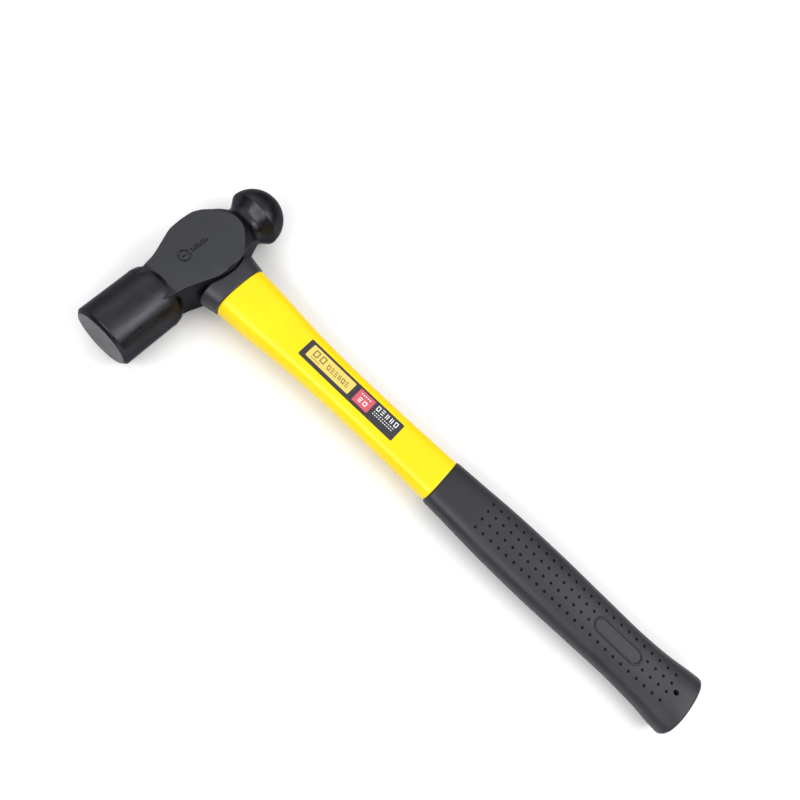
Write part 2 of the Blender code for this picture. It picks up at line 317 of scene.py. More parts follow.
def add_piece(name, mesh, material, node):
    """Show a mesh as a piece that rides on the hammer and stands for a CAD node."""
    mesh.name = name
    mesh.shade_smooth()
    mesh.set_sharp_from_angle(angle=SMOOTH_ANGLE)
    mesh.materials.clear()
    mesh.materials.append(material)
    piece = bpy.data.objects.new(name, mesh)
    bpy.context.scene.collection.objects.link(piece)
    piece.location = ORIGIN
    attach(piece, "root")
    if node:
        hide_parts(node)
    return piece


# ---------------------------------------------------------------- materials

class Graph:
    """A node material under construction, with its Principled shader."""

    def __init__(self, name, color, roughness, metallic=0.0):
        self.material = bpy.data.materials.new(name)
        self.material.use_nodes = True
        self.tree = self.material.node_tree
        self.shader = self.tree.nodes["Principled BSDF"]
        self.shader.inputs["Base Color"].default_value = (*color, 1.0)
        self.shader.inputs["Roughness"].default_value = roughness
        self.shader.inputs["Metallic"].default_value = metallic
        self.place = self.tree.nodes.new("ShaderNodeTexCoord").outputs["Object"]

    def node(self, kind, **sockets):
        """A new node, with its inputs linked or set by name."""
        made = self.tree.nodes.new(kind)
        for name, value in sockets.items():
            self.feed(made.inputs[name.replace("_", " ")], value)
        return made

    def feed(self, socket, value):
        """Link or set one input."""
        if isinstance(value, bpy.types.NodeSocket):
            self.tree.links.new(value, socket)
        else:
            socket.default_value = value

    def stretched(self, scale):
        """The object's coordinates, stretched along each axis."""
        mapping = self.node("ShaderNodeMapping", Vector=self.place)
        mapping.inputs["Scale"].default_value = scale
        return mapping.outputs["Vector"]

    def noise(self, scale, detail=4.0, stretch=(1, 1, 1), roughness=0.55):
        """Cloudy noise from 0 to 1; scale is in features per metre."""
        made = self.node("ShaderNodeTexNoise", Vector=self.stretched(stretch),
                         Scale=scale, Detail=detail, Roughness=roughness)
        return made.outputs["Fac"]

    def cells(self, scale, feature="F1"):
        """Distance to the nearest of scattered points."""
        made = self.node("ShaderNodeTexVoronoi", Vector=self.place, Scale=scale)
        made.feature = feature
        return made.outputs["Distance"]

    def spread(self, value, low, high, to_low=0.0, to_high=1.0):
        """A value mapped from one range to another, clamped."""
        made = self.node("ShaderNodeMapRange", Value=value)
        made.clamp = True
        for socket, limit in zip(("From Min", "From Max", "To Min", "To Max"),
                                 (low, high, to_low, to_high)):
            made.inputs[socket].default_value = limit
        return made.outputs["Result"]

    def math(self, operation, a, b=0.0):
        """One arithmetic step."""
        made = self.tree.nodes.new("ShaderNodeMath")
        made.operation = operation
        self.feed(made.inputs[0], a)
        self.feed(made.inputs[1], b)
        return made.outputs[0]

    def axis(self, letter):
        """One of the object's coordinates."""
        return self.node("ShaderNodeSeparateXYZ", Vector=self.place).outputs[letter]

    def mix(self, share, first, second):
        """A blend of two colours."""
        made = self.tree.nodes.new("ShaderNodeMix")
        made.data_type = "RGBA"
        self.feed(made.inputs[0], share)
        for socket, value in ((made.inputs[6], first), (made.inputs[7], second)):
            self.feed(socket, value if isinstance(value, bpy.types.NodeSocket)
                      else (*value, 1.0))
        return made.outputs[2]

    def bump(self, height, distance, strength=1.0, under=None):
        """Relief of the given distance, on top of any relief under it."""
        made = self.node("ShaderNodeBump", Height=height, Distance=distance,
                         Strength=strength)
        if under is not None:
            self.feed(made.inputs["Normal"], under)
        return made.outputs["Normal"]

    def finish(self, color=None, roughness=None, normal=None):
        """Link what varies to the shader, and give the material."""
        for name, value in (("Base Color", color), ("Roughness", roughness),
                            ("Normal", normal)):
            if value is not None:
                self.feed(self.shader.inputs[name], value)
        return self.material


def head_material():
    """Black baked finish: glossy and ring-marked where turned, satin on the ground cheeks."""
    graph = Graph("forged_black", (0.040, 0.040, 0.045), 0.30, 1.0)
    graph.shader.inputs["Specular Tint"].default_value = (0.50, 0.49, 0.52, 1.0)
    y = graph.axis("Y")
    poll = graph.spread(y, -0.0325, -0.0310, 1.0, 0.0)
    ball = graph.spread(y, 0.0270, 0.0290)
    turned = graph.math("MAXIMUM", poll, ball)
    height = graph.math("ABSOLUTE", graph.axis("Z"))
    ground = graph.math("MULTIPLY", graph.spread(height, CHEEK_Z - 0.0006, CHEEK_Z - 0.0001),
                        graph.math("SUBTRACT", 1.0, turned))
    lines = graph.noise(1900.0, detail=4.0, stretch=(0.05, 1, 0.05))
    streaks = graph.noise(420.0, detail=4.0, stretch=(1, 0.10, 1))
    grain = graph.noise(2400.0, detail=3.0)
    forging = graph.noise(160.0, detail=3.0)
    cloud = graph.noise(55.0, detail=5.0)
    dark = graph.mix(graph.spread(cloud, 0.35, 0.7), (0.0300, 0.0300, 0.0345),
                     (0.0400, 0.0395, 0.0450))
    satin = graph.mix(graph.spread(cloud, 0.35, 0.7), (0.0545, 0.0560, 0.0630),
                      (0.0640, 0.0655, 0.0735))
    # Painted shade: the ground cheeks' colour darkens towards the crown side (-X), standing in for
    # the shading across the cheek.
    satin = graph.mix(graph.spread(graph.axis("X"), 0.016, -0.018, 0.0, 0.7), satin,
                      (0.0500, 0.0510, 0.0570))
    color = graph.mix(ground, dark, satin)
    color = graph.mix(graph.spread(grain, 0.60, 0.80, 0.0, 0.35), color, (0.062, 0.062, 0.070))
    marks = graph.math("MULTIPLY", graph.spread(streaks, 0.35, 0.70, -0.08, 0.10), turned)
    matte = graph.spread(turned, 0.0, 1.0, 0.44, 0.33)
    uneven = graph.math("ADD", graph.spread(cloud, 0.3, 0.75, -0.03, 0.05), marks)
    roughness = graph.math("ADD", matte, uneven)
    normal = graph.bump(forging, 0.0006, 0.12)
    normal = graph.bump(grain, 0.00012, 0.32, under=normal)
    relief = graph.math("MULTIPLY", lines, turned)
    normal = graph.bump(relief, 0.00014, 0.65, under=normal)
    return graph.finish(color, roughness, normal)


def face_material():
    """Ground striking face under clear lacquer."""
    graph = Graph("ground_face", (0.036, 0.040, 0.045), 0.42, 0.2)
    graph.shader.inputs["Specular IOR Level"].default_value = 0.22
    x, z = graph.axis("X"), graph.axis("Z")
    radius = graph.math("SQRT", graph.math("ADD", graph.math("MULTIPLY", x, x),
                                           graph.math("MULTIPLY", z, z)))
    rings = graph.node("ShaderNodeTexNoise", Scale=1.0, Detail=2.0)
    rings.noise_dimensions = "1D"
    graph.feed(rings.inputs["W"], graph.math("MULTIPLY", radius, 3800.0))
    cloud = graph.noise(90.0, detail=4.0)
    color = graph.mix(graph.spread(cloud, 0.35, 0.7), (0.028, 0.032, 0.037),
                      (0.037, 0.041, 0.047))
    roughness = graph.spread(cloud, 0.3, 0.7, 0.34, 0.46)
    normal = graph.bump(rings.outputs["Fac"], 0.00004, 0.35)
    return graph.finish(color, roughness, normal)


def rubber_material(name, shade, roughness, gloss, grain_scale):
    """Moulded black rubber with a fine spark-eroded grain."""
    dark = tuple(0.80 * c for c in shade)
    light = tuple(1.22 * c for c in shade)
    graph = Graph(name, shade, roughness)
    cloud = graph.noise(38.0, detail=4.0)
    grain = graph.cells(grain_scale)
    fine = graph.noise(grain_scale * 1.7, detail=2.0)
    graph.shader.inputs["Specular IOR Level"].default_value = gloss
    color = graph.mix(graph.spread(cloud, 0.3, 0.7), dark, light)
    rough = graph.spread(cloud, 0.3, 0.7, roughness - 0.06, roughness + 0.06)
    normal = graph.bump(grain, 0.00010, 0.22)
    normal = graph.bump(fine, 0.00006, 0.25, under=normal)
    return graph.finish(color, rough, normal)


def jacket_material():
    """Glossy moulded yellow plastic with faint flow marks along the handle."""
    graph = Graph("yellow_jacket", (0.82, 0.60, 0.002), 0.30)
    graph.shader.inputs["Specular IOR Level"].default_value = 0.26
    graph.shader.inputs["Subsurface Weight"].default_value = 0.06
    graph.shader.inputs["Subsurface Radius"].default_value = (0.004, 0.003, 0.0005)
    graph.shader.inputs["Subsurface Scale"].default_value = 1.0
    flow = graph.noise(220.0, detail=3.0, stretch=(0.08, 1, 1))
    peel = graph.noise(700.0, detail=2.0)
    cloud = graph.noise(30.0, detail=3.0)
    color = graph.mix(graph.spread(cloud, 0.3, 0.7), (0.79, 0.560, 0.001), (0.83, 0.595, 0.002))
    roughness = graph.spread(flow, 0.3, 0.7, 0.25, 0.36)
    normal = graph.bump(flow, 0.00010, 0.12)
    normal = graph.bump(peel, 0.00005, 0.16, under=normal)
    return graph.finish(color, roughness, normal)


def film_material(name, shade, roughness=0.32):
    """Printed film or ink, with a faint halftone speckle."""
    dark = tuple(0.93 * c for c in shade)
    light = tuple(min(1.06 * c, 1.0) for c in shade)
    graph = Graph(name, shade, roughness)
    speckle = graph.noise(3000.0, detail=1.0)
    cloud = graph.noise(120.0, detail=3.0)
    color = graph.mix(graph.spread(speckle, 0.35, 0.65), dark, light)
    rough = graph.spread(cloud, 0.3, 0.7, roughness - 0.05, roughness + 0.06)
    normal = graph.bump(cloud, 0.00003, 0.2)
    return graph.finish(color, rough, normal)


def resin_material():
    """Set epoxy: dark amber, glossy, with small bubbles."""
    graph = Graph("set_epoxy", (0.085, 0.062, 0.030), 0.18)
    graph.shader.inputs["Coat Weight"].default_value = 0.4
    bubbles = graph.cells(900.0)
    cloud = graph.noise(260.0, detail=4.0)
    color = graph.mix(graph.spread(cloud, 0.3, 0.7), (0.060, 0.042, 0.020),
                      (0.120, 0.088, 0.044))
    roughness = graph.spread(cloud, 0.3, 0.7, 0.12, 0.30)
    normal = graph.bump(graph.spread(bubbles, 0.0, 0.25), 0.00015, 0.25)
    return graph.finish(color, roughness, normal)


def glass_fiber_material():
    """The rod: pale resin with glass strands along the handle."""
    graph = Graph("pultruded_rod", (0.60, 0.52, 0.30), 0.45)
    strands = graph.noise(2600.0, detail=3.0, stretch=(0.02, 1, 1))
    cloud = graph.noise(140.0, detail=3.0)
    color = graph.mix(graph.spread(strands, 0.35, 0.65), (0.42, 0.35, 0.17),
                      (0.78, 0.71, 0.48))
    roughness = graph.spread(cloud, 0.3, 0.7, 0.38, 0.55)
    normal = graph.bump(strands, 0.00008, 0.4)
    return graph.finish(color, roughness, normal)


# ---------------------------------------------------------------- head

def head_stations():
    """Places along the head's axis at which it has a section."""
    rim = FACE_Y + CHAMFER * np.array([0.0, 0.05, 0.12, 0.30, 0.50, 0.70, 0.85, 0.95, 1.05])
    poll = np.linspace(FACE_Y + 0.0030, SHOULDER_Y - 0.0010, 24)
    shoulder = np.arange(SHOULDER_Y, CHEEK_START_Y, SHOULDER_PITCH)
    cheek = np.arange(CHEEK_START_Y + 0.0002, NOSE_START_Y - 0.0002, CHEEK_PITCH)
    nose = np.arange(NOSE_START_Y, BALL_Y - 0.0002, NOSE_PITCH)
    turn = np.linspace(0, 0.96 * math.pi / 2, 44)
    ball = BALL_Y + BALL_RADIUS * np.sin(turn)
    return np.concatenate([rim, poll, shoulder, cheek, nose, ball])


def rim_radius(y):
    """The poll's rounded chamfer, from the striking face to the full radius."""
    share = np.clip((y - FACE_Y) / CHAMFER, 0, 1)
    bevel = POLL_RADIUS - 1.04 * CHAMFER * (1 - share)
    return soft_min(bevel, np.full_like(y, POLL_RADIUS), 0.0006)


def head_mesh():
    """The forging as distances from its axis: poll, cheeks, turned neck and ball."""
    y = head_stations()[:, None]
    # The angles of a section crowd towards the long edge between its wall and its cheek.
    wall_steps, cheek_steps, crowding = 26, 34, 1.5
    corner = np.arctan2(CHEEK_Z, cheek_half(y))
    wall_shares = 1 - (1 - np.arange(wall_steps) / wall_steps) ** crowding
    cheek_shares = (np.arange(cheek_steps) / cheek_steps) ** crowding
    quarter = np.hstack([corner * wall_shares, corner + (math.pi / 2 - corner) * cheek_shares])
    half = np.hstack([quarter, np.full_like(y, math.pi / 2), math.pi - quarter[:, :0:-1]])
    angle = np.hstack([half, half + math.pi])

    # Past the waist the cheeks are moved out of the way, and the head is all turned.
    away = np.where(y < WAIST_Y, 0.0, 1.0)
    flat = CHEEK_Z / np.maximum(np.abs(np.sin(angle)), 1e-6) + away
    wall = cheek_half(y) / np.maximum(np.abs(np.cos(angle)), 1e-6) + away
    cheek = soft_min(soft_min(flat, wall, EDGE_ROUND), curve(TURNED_NECK, y), NOSE_ROUND)
    crease = 0.0001 + CREASE_ROUND * ease((y - SHOULDER_Y) / 0.004)
    middle = soft_max(curve(POLL_SHOULDER, y), cheek, crease)
    ball = np.sqrt(np.maximum(BALL_RADIUS ** 2 - (y - BALL_Y) ** 2, 0))
    (near_y, near_radius), (last_y, last_radius) = TURNED_NECK[-2:]
    slope = (last_radius - near_radius) / (last_y - near_y)
    back = curve(TURNED_NECK, y) + slope * np.maximum(y - BALL_Y, 0)
    rimmed = soft_min(back, np.where(y > WAIST_Y, ball, back + 1), RIM_ROUND) + 0 * angle
    poll = rim_radius(y) + 0 * angle
    radius = np.where(y < SHOULDER_Y, poll, np.where(y > WAIST_Y + 0.003, rimmed, middle))
    rings = np.stack([radius * np.cos(angle), y + 0 * angle, radius * np.sin(angle)], axis=2)

    face_rings = [rings[0] * np.array([share, 1, share]) for share in (0.3, 0.6, 0.9, 0.985)]
    rings = np.concatenate([np.array(face_rings), rings])
    mesh = ring_mesh("head", rings, start_tip=(0, FACE_Y, 0), end_tip=(0, BALL_TIP_Y, 0))
    for bar in mark_bars():
        mesh = combined(mesh, bar, "UNION")
    return without_slivers(combined(mesh, eye_mesh(), "DIFFERENCE"))


def eye_half(x):
    """Half-sizes of the oval eye along Y and Z, which is waisted in the middle."""
    flare = min(abs(x) / CROWN_X, 1.0) ** 2
    return [waist + (mouth - waist) * flare for waist, mouth in zip(EYE_WAIST, EYE_MOUTH)]


def eye_mesh():
    """The eye from past one mouth to past the other."""
    reach = CROWN_X + 0.003
    rings = [oval_ring(x, *eye_half(x), EYE_EXPONENT, 96) for x in np.linspace(-reach, reach, 25)]
    return ring_mesh("eye", rings, (-reach, 0, 0), (reach, 0, 0))


def build_head():
    """The forging, with its striking face in a material of its own."""
    mesh = head_mesh()
    piece = add_piece("forged_head", mesh, head_material(), "head")
    mesh.materials.append(face_material())
    for polygon in mesh.polygons:
        if polygon.center.y < FACE_Y + 0.00002:
            polygon.material_index = 1
    return piece


def raised_bar(centre, along, across, lean=0.0):
    """A low bar on the cheek with sloped sides; it runs along Y before it leans."""
    turn = Matrix.Rotation(lean, 2)
    rings = []
    for height, inset in ((-0.0002, 0.0), (0.00002, 0.0), (MARK_RISE, 0.00018)):
        half_x, half_y = across / 2 - inset, along / 2 - inset
        corners = rounded_box((-half_x, -half_y), (half_x, half_y), 0.5 * min(half_x, half_y), 3)
        rings.append([(*(Vector(centre) + turn @ Vector(corner)), CHEEK_Z + height)
                      for corner in corners])
    return ring_mesh("bar", rings, *[(*centre, ring[0][2]) for ring in (rings[0], rings[-1])])


def mark_bars():
    """The bars of the raised mark."""
    yield raised_bar((MARK_X, MARK_Y), MARK_BAR_LENGTH, MARK_BAR)
    for side in range(6):
        angle = math.radians(60 * side + 30)
        centre = (MARK_X + MARK_REACH * math.cos(angle), MARK_Y + MARK_REACH * math.sin(angle))
        yield raised_bar(centre, 1.12 * MARK_REACH, MARK_BAR, angle)
    for tick in range(TICKS):
        short = TICK_CUT * (tick % 3 == 1)
        centre = (MARK_X + short / 2, TICKS_Y + TICK_PITCH * tick)
        yield raised_bar(centre, TICK_WIDTH, TICK_LENGTH - short)


def build_resin():
    """Epoxy that fills the eye round the rod, with a meniscus at the top."""
    sides, rings = 96, []
    inner = [half + FIT for half in CORE_HALF]
    outer = [half - FIT for half in eye_half(RESIN_TOP_X)]
    for share in np.linspace(0, 1, 9):
        half_y, half_z = [a + (b - a) * share for a, b in zip(inner, outer)]
        sink = 0.0006 * math.sin(math.pi * share)
        exponent = CORE_EXPONENT + (EYE_EXPONENT - CORE_EXPONENT) * share
        rings.append(oval_ring(RESIN_TOP_X + sink, half_y, half_z, exponent, sides))
    for x in np.linspace(RESIN_TOP_X + 0.0004, RESIN_END_X, 16):
        half_y, half_z = [half - FIT for half in eye_half(x)]
        rings.append(oval_ring(x, half_y, half_z, EYE_EXPONENT, sides))
    for x in np.linspace(RESIN_END_X, RESIN_TOP_X + 0.001, 6):
        rings.append(oval_ring(x, CORE_HALF[0] + FIT, CORE_HALF[1] + FIT, CORE_EXPONENT, sides))
    mesh = ring_mesh("resin", rings, joined=True)
    add_piece("eye_resin_fill", mesh, resin_material(), "eye_resin")


def build_core():
    """The rod, with its sawn end at the head's crown slightly chamfered."""
    rings = []
    for x, inset in ((CORE_START_X, 0.0006), (CORE_START_X + 0.0004, 0.0),
                     (0.0, 0.0), (0.05, 0.0), (CORE_END_X, 0.0)):
        rings.append(oval_ring(x, CORE_HALF[0] - inset, CORE_HALF[1] - inset,
                               CORE_EXPONENT, 96))
    mesh = ring_mesh("core", rings, (CORE_START_X, 0, 0), (CORE_END_X, 0, 0))
    add_piece("core_rod", mesh, glass_fiber_material(), "fiberglass_core")


# ---------------------------------------------------------------- handle

def build_collar():
    """The moulded collar: its top fits the head's crown, its lower lip is rounded."""
    sides = 160
    drop = (COLLAR_TOP_HALF_WIDTH - COLLAR_END_HALF_WIDTH) / (COLLAR_END_X - COLLAR_SEAT_X)

    def outer(x_share, inset):
        """One ring of the outside; x_share runs from the saddled top to the lower lip."""
        x = COLLAR_SEAT_X + (COLLAR_END_X - COLLAR_SEAT_X) * x_share
        half_y = COLLAR_END_HALF_WIDTH + drop * (COLLAR_END_X - x) - inset
        flat = oval(half_y, half_y * JACKET_DEPTH_RATIO - 0.35 * inset, JACKET_EXPONENT, sides)
        top = np.maximum(cheek_half(flat[:, 0]) + FIT, COLLAR_SEAT_X)
        return np.column_stack([top + (COLLAR_END_X - top) * x_share, flat])

    def saddle(share):
        """One ring of the top face, from its rim in to the rod."""
        half_y = COLLAR_TOP_HALF_WIDTH - 0.0006
        sizes = [(1 - share) * a + share * (b + FIT)
                 for a, b in zip((half_y, half_y * JACKET_DEPTH_RATIO), CORE_HALF)]
        flat = oval(*sizes, JACKET_EXPONENT + (CORE_EXPONENT - JACKET_EXPONENT) * share, sides)
        top = np.maximum(cheek_half(flat[:, 0]) + FIT, COLLAR_SEAT_X)
        return np.column_stack([top, flat])

    def inner(x, half, exponent):
        """One ring of the inside, with clearance round what it holds."""
        return oval_ring(x, half[0] + FIT, half[1] + FIT, exponent, sides)

    lip = [(1.0, 0.00110), (1.0, 0.00070), (0.992, 0.00042), (0.972, 0.00020),
           (0.945, 0.00007), (0.91, 0.0)]
    side = [(share, 0.0) for share in np.linspace(0.85, 0.08, 16)]
    rim = [(0.045, 0.00006), (0.018, 0.00022), (0.0, 0.00055)]
    rings = [outer(share, inset) for share, inset in lip + side + rim]
    rings += [saddle(share) for share in np.linspace(0.05, 1.0, 14)]
    rings += [inner(x, CORE_HALF, CORE_EXPONENT) for x in (0.0210, COLLAR_WEB_X)]
    rings += [inner(x, JACKET_TENON, JACKET_EXPONENT)
              for x in (COLLAR_WEB_X, 0.0240, 0.0265, COLLAR_END_X)]
    mesh = ring_mesh("collar", rings, joined=True)
    material = rubber_material("collar_rubber", (0.0200, 0.0205, 0.0260), 0.38, 0.36, 1500.0)
    add_piece("neck_collar_moulding", mesh, material, "neck_collar")


def bore_rings(start_x, end_x, sides):
    """Rings of the jacket's inner wall, which fits the rod."""
    return [oval_ring(x, CORE_HALF[0] + FIT, CORE_HALF[1] + FIT, CORE_EXPONENT, sides)
            for x in (start_x, end_x)]


def build_jacket():
    """The yellow shaft, stepped down inside the collar and the grip."""
    sides = 160
    step_in, step_out = COLLAR_END_X + FIT, GRIP_START_X - FIT
    rings = [oval_ring(JACKET_END_X, *JACKET_SPIGOT, JACKET_EXPONENT, sides),
             oval_ring(step_out, *JACKET_SPIGOT, JACKET_EXPONENT, sides)]
    round_off = 0.00035
    for x in np.linspace(step_out, step_in, 200):
        half_y = float(curve(JACKET_OUTLINE, x))
        inset = round_off * max(1 - min(x - step_in, step_out - x) / round_off, 0.0) ** 2
        rings.append(oval_ring(x, half_y - inset, half_y * JACKET_DEPTH_RATIO - inset,
                               JACKET_EXPONENT, sides))
    rings += [oval_ring(x, *JACKET_TENON, JACKET_EXPONENT, sides)
              for x in (step_in, JACKET_START_X)]
    rings += bore_rings(JACKET_START_X, CORE_END_X + FIT, sides)
    mesh = ring_mesh("jacket", rings, (JACKET_END_X, 0, 0), (CORE_END_X + FIT, 0, 0))
    add_piece("jacket_moulding", mesh, jacket_material(), "handle_jacket")


def slant_butt(mesh):
    """Shear the butt so that its end leans, and move it a little, towards the ball side."""
    points = np.empty(3 * len(mesh.vertices), np.float32)
    mesh.vertices.foreach_get("co", points)
    x, y = points[0::3], points[1::3].copy()
    share = np.clip((x - BUTT_SLANT_START_X) / (BUTT_ROUND_X - BUTT_SLANT_START_X), 0, 1)
    points[0::3] += BUTT_SLANT * share * y
    points[1::3] += BUTT_DRIFT * share
    mesh.vertices.foreach_set("co", points)


def grip_surface(x, y):
    """Height of the grip's surface above the handle's axis."""
    half_y = curve(GRIP_OUTLINE, x)
    share = 1 - (np.abs(y) / half_y) ** GRIP_EXPONENT
    return half_y * GRIP_DEPTH_RATIO * share ** (1 / GRIP_EXPONENT)


def lathe(profile, sides, centre, flip=1.0):
    """A turned cutter about a line along Z; profile is (radius, height) from the top down."""
    angle = 2 * math.pi * np.arange(sides) / sides
    rings = [np.column_stack([centre[0] + radius * np.cos(angle),
                              centre[1] + radius * np.sin(angle),
                              np.full(sides, centre[2] + flip * height)])
             for radius, height in profile]
    tips = [(centre[0], centre[1], centre[2] + flip * profile[i][1]) for i in (0, -1)]
    return ring_mesh("turned", rings, *tips)


def dimple_places():
    """(x, y) of every dimple on one side of the grip."""
    for column in range(DIMPLE_COLUMNS):
        for row in DIMPLE_ROWS:
            if column in PANEL_COLUMNS and abs(row) < 1:
                continue
            yield DIMPLE_START_X + column * DIMPLE_PITCH, row * DIMPLE_ROW_PITCH


def dimple_cutters():
    """Round-bottomed pits with a soft mouth."""
    profile = [(0.00128, 0.00060), (0.00104, 0.00020), (0.00089, 0.0), (0.00083, -0.00020),
               (0.00079, -0.00075), (0.00066, -0.00120), (0.00042, -0.00146),
               (0.00015, -0.00156)]
    return [lathe(profile, 20, (x, y, side * grip_surface(x, y)), side)
            for x, y in dimple_places() for side in (1, -1)]


def racetrack(half_length, half_width):
    """Outline of the thumb panel about its middle, as (along, across) points."""
    turn = np.linspace(-math.pi / 2, math.pi / 2, 33)
    straight = half_length - half_width
    end = np.stack([straight + half_width * np.cos(turn), half_width * np.sin(turn)], axis=1)
    run = np.linspace(straight, -straight, 41)[1:-1]
    edge = np.stack([run, np.full_like(run, half_width)], axis=1)
    return np.concatenate([end, edge, -end, -edge])


def panel_pad(side):
    """The flat plate of the thumb panel, just proud of the curved grip."""
    level = float(grip_surface(PANEL_X, 0.0))
    rings = []
    for height, shrink in ((level - 0.003, 0.0), (level, 0.0), (level + 0.00004, 0.0001)):
        outline = racetrack(PANEL_HALF_LENGTH - shrink, PANEL_HALF_WIDTH - shrink)
        rings.append(np.column_stack([PANEL_X + outline[:, 0], outline[:, 1],
                                      np.full(len(outline), side * height)]))
    tips = [(PANEL_X, 0, ring[0, 2]) for ring in (rings[0], rings[-1])]
    return ring_mesh("pad", rings, *tips)


def panel_bead(side):
    """The raised bead round the thumb panel."""
    rings = []
    for angle in 2 * math.pi * np.arange(18) / 18:
        reach = BEAD_HALF_WIDTH * math.cos(angle)
        outline = racetrack(PANEL_HALF_LENGTH + reach, PANEL_HALF_WIDTH + reach)
        middle = racetrack(PANEL_HALF_LENGTH, PANEL_HALF_WIDTH)
        height = grip_surface(PANEL_X + middle[:, 0], middle[:, 1])
        height = 0.5 * (height + grip_surface(PANEL_X, 0.0)) + BEAD_RISE * math.sin(angle)
        rings.append(np.column_stack([PANEL_X + outline[:, 0], outline[:, 1], side * height]))
    return ring_mesh("bead", rings, joined=True)


def hole_cutter():
    """The hang hole, right through the butt, with its two mouths eased."""
    height = float(grip_surface(HANG_HOLE_X, 0.0))
    eased = ((0.0009, 0.0010), (0.0004, 0.0001), (0.0001, -0.0004), (0.0, -0.0010))
    mouth = [(HANG_HOLE_RADIUS + flare, height + rise) for flare, rise in eased]
    profile = mouth + [(radius, -z) for radius, z in reversed(mouth)]
    return lathe(profile, 40, (HANG_HOLE_X, HANG_HOLE_Y, 0.0))


def build_grip():
    """The rubber sleeve, with its dimples, thumb panels and hang hole."""
    sides = 160
    turn = np.linspace(0.04, math.pi / 2, 28)
    rings = []
    butt_half = GRIP_OUTLINE[-1][1]
    for angle in turn:
        share = math.sin(angle) ** (2 / BUTT_EXPONENT)
        x = BUTT_ROUND_X + (HANDLE_END_X - BUTT_ROUND_X) * math.cos(angle) ** (2 / BUTT_EXPONENT)
        rings.append(oval_ring(x, butt_half * share, butt_half * share * GRIP_DEPTH_RATIO,
                               GRIP_EXPONENT, sides))
    for x in np.linspace(BUTT_ROUND_X - 0.0006, GRIP_START_X + 0.0020, 260):
        half_y = float(curve(GRIP_OUTLINE, x))
        rings.append(oval_ring(x, half_y, half_y * GRIP_DEPTH_RATIO, GRIP_EXPONENT, sides))
    lip = [(0.0014, 0.00002), (0.0009, 0.00010), (0.0005, 0.00024), (0.0002, 0.00046),
           (0.0, 0.00085)]
    half_y = GRIP_OUTLINE[0][1]
    rings += [oval_ring(GRIP_START_X + reach, half_y - inset,
                        half_y * GRIP_DEPTH_RATIO - inset, GRIP_EXPONENT, sides)
              for reach, inset in lip]
    rings += [oval_ring(x, JACKET_SPIGOT[0] + FIT, JACKET_SPIGOT[1] + FIT, JACKET_EXPONENT, sides)
              for x in (GRIP_START_X, 0.2, 0.25, 0.3, GRIP_CAVITY_END_X)]
    mesh = ring_mesh("grip", rings, (HANDLE_END_X, 0, 0), (GRIP_CAVITY_END_X, 0, 0))
    for side in (1, -1):
        mesh = combined(mesh, panel_pad(side), "UNION")
        mesh = combined(mesh, panel_bead(side), "UNION")
    cutters = joined_mesh("grip_cutters", dimple_cutters() + [hole_cutter()])
    mesh = combined(mesh, cutters, "DIFFERENCE")
    slant_butt(mesh)
    material = rubber_material("grip_rubber", (0.0165, 0.0170, 0.0225), 0.45, 0.34, 1300.0)
    add_piece("grip_moulding", mesh, material, "grip_sleeve")


# ---------------------------------------------------------------- label

def shaft_surface(x, y):
    """Height of the yellow shaft's surface above the handle's axis."""
    half_y = curve(JACKET_OUTLINE, x)
    share = 1 - (np.abs(y) / half_y) ** JACKET_EXPONENT
    return half_y * JACKET_DEPTH_RATIO * share ** (1 / JACKET_EXPONENT)


def rounded_box(low, high, radius, steps=5):
    """Outline of a rectangle with round corners, as (along, across) points."""
    points = []
    for cx, cy, start in ((high[0] - radius, high[1] - radius, 0),
                          (low[0] + radius, high[1] - radius, 90),
                          (low[0] + radius, low[1] + radius, 180),
                          (high[0] - radius, low[1] + radius, 270)):
        for step in range(steps + 1):
            angle = math.radians(start + 90 * step / steps)
            points.append((cx + radius * math.cos(angle), cy + radius * math.sin(angle)))
    return points


def ordered_mesh(name, shape):
    """The mesh of a cut solid, with points and faces in the order of their places."""
    points = sorted(shape.verts, key=lambda vertex: tuple(round(c, 7) for c in vertex.co))
    number = {vertex: place for place, vertex in enumerate(points)}
    faces = []
    for face in shape.faces:
        loop = [number[vertex] for vertex in face.verts]
        first = loop.index(min(loop))
        faces.append(loop[first:] + loop[:first])
    mesh = bpy.data.meshes.new(name)
    mesh.from_pydata([tuple(vertex.co) for vertex in points], [], sorted(faces))
    return mesh


def wrapped(outline, base, thickness):
    """A thin solid of that outline, bent to the shaft at a height above its surface."""
    shape = bmesh.new()
    floor = [shape.verts.new((x, y, 0)) for x, y in outline]
    face = shape.faces.new(floor)
    made = bmesh.ops.extrude_face_region(shape, geom=[face])
    top = [item for item in made["geom"] if isinstance(item, bmesh.types.BMVert)]
    bmesh.ops.translate(shape, verts=top, vec=(0, 0, 1))
    xs, ys = [p[0] for p in outline], [p[1] for p in outline]
    for axis, low, high, pitch in ((0, min(xs), max(xs), 0.0025), (1, min(ys), max(ys), 0.0006)):
        normal = Vector((axis == 0, axis == 1, 0))
        for place in np.arange(math.ceil(low / pitch) * pitch, high, pitch):
            geometry = shape.verts[:] + shape.edges[:] + shape.faces[:]
            bmesh.ops.bisect_plane(shape, geom=geometry, plane_co=normal * place, plane_no=normal,
                                   dist=1e-7)
    for vertex in shape.verts:
        x, y, level = vertex.co
        vertex.co.z = float(shaft_surface(x, y)) + base + thickness * level
    mesh = ordered_mesh("wrapped", shape)
    shape.free()
    return outward(mesh)


def label_point(along, across):
    """A place on the label from shares of its length and of its width, ball side first."""
    return (LABEL_X[0] + (LABEL_X[1] - LABEL_X[0]) * along,
            LABEL_Y[1] - (LABEL_Y[1] - LABEL_Y[0]) * across)


def label_box(along, across, radius):
    """A rounded box between two shares of the label's length and two of its width."""
    first, second = label_point(along[0], across[1]), label_point(along[1], across[0])
    return rounded_box(first, second, radius)


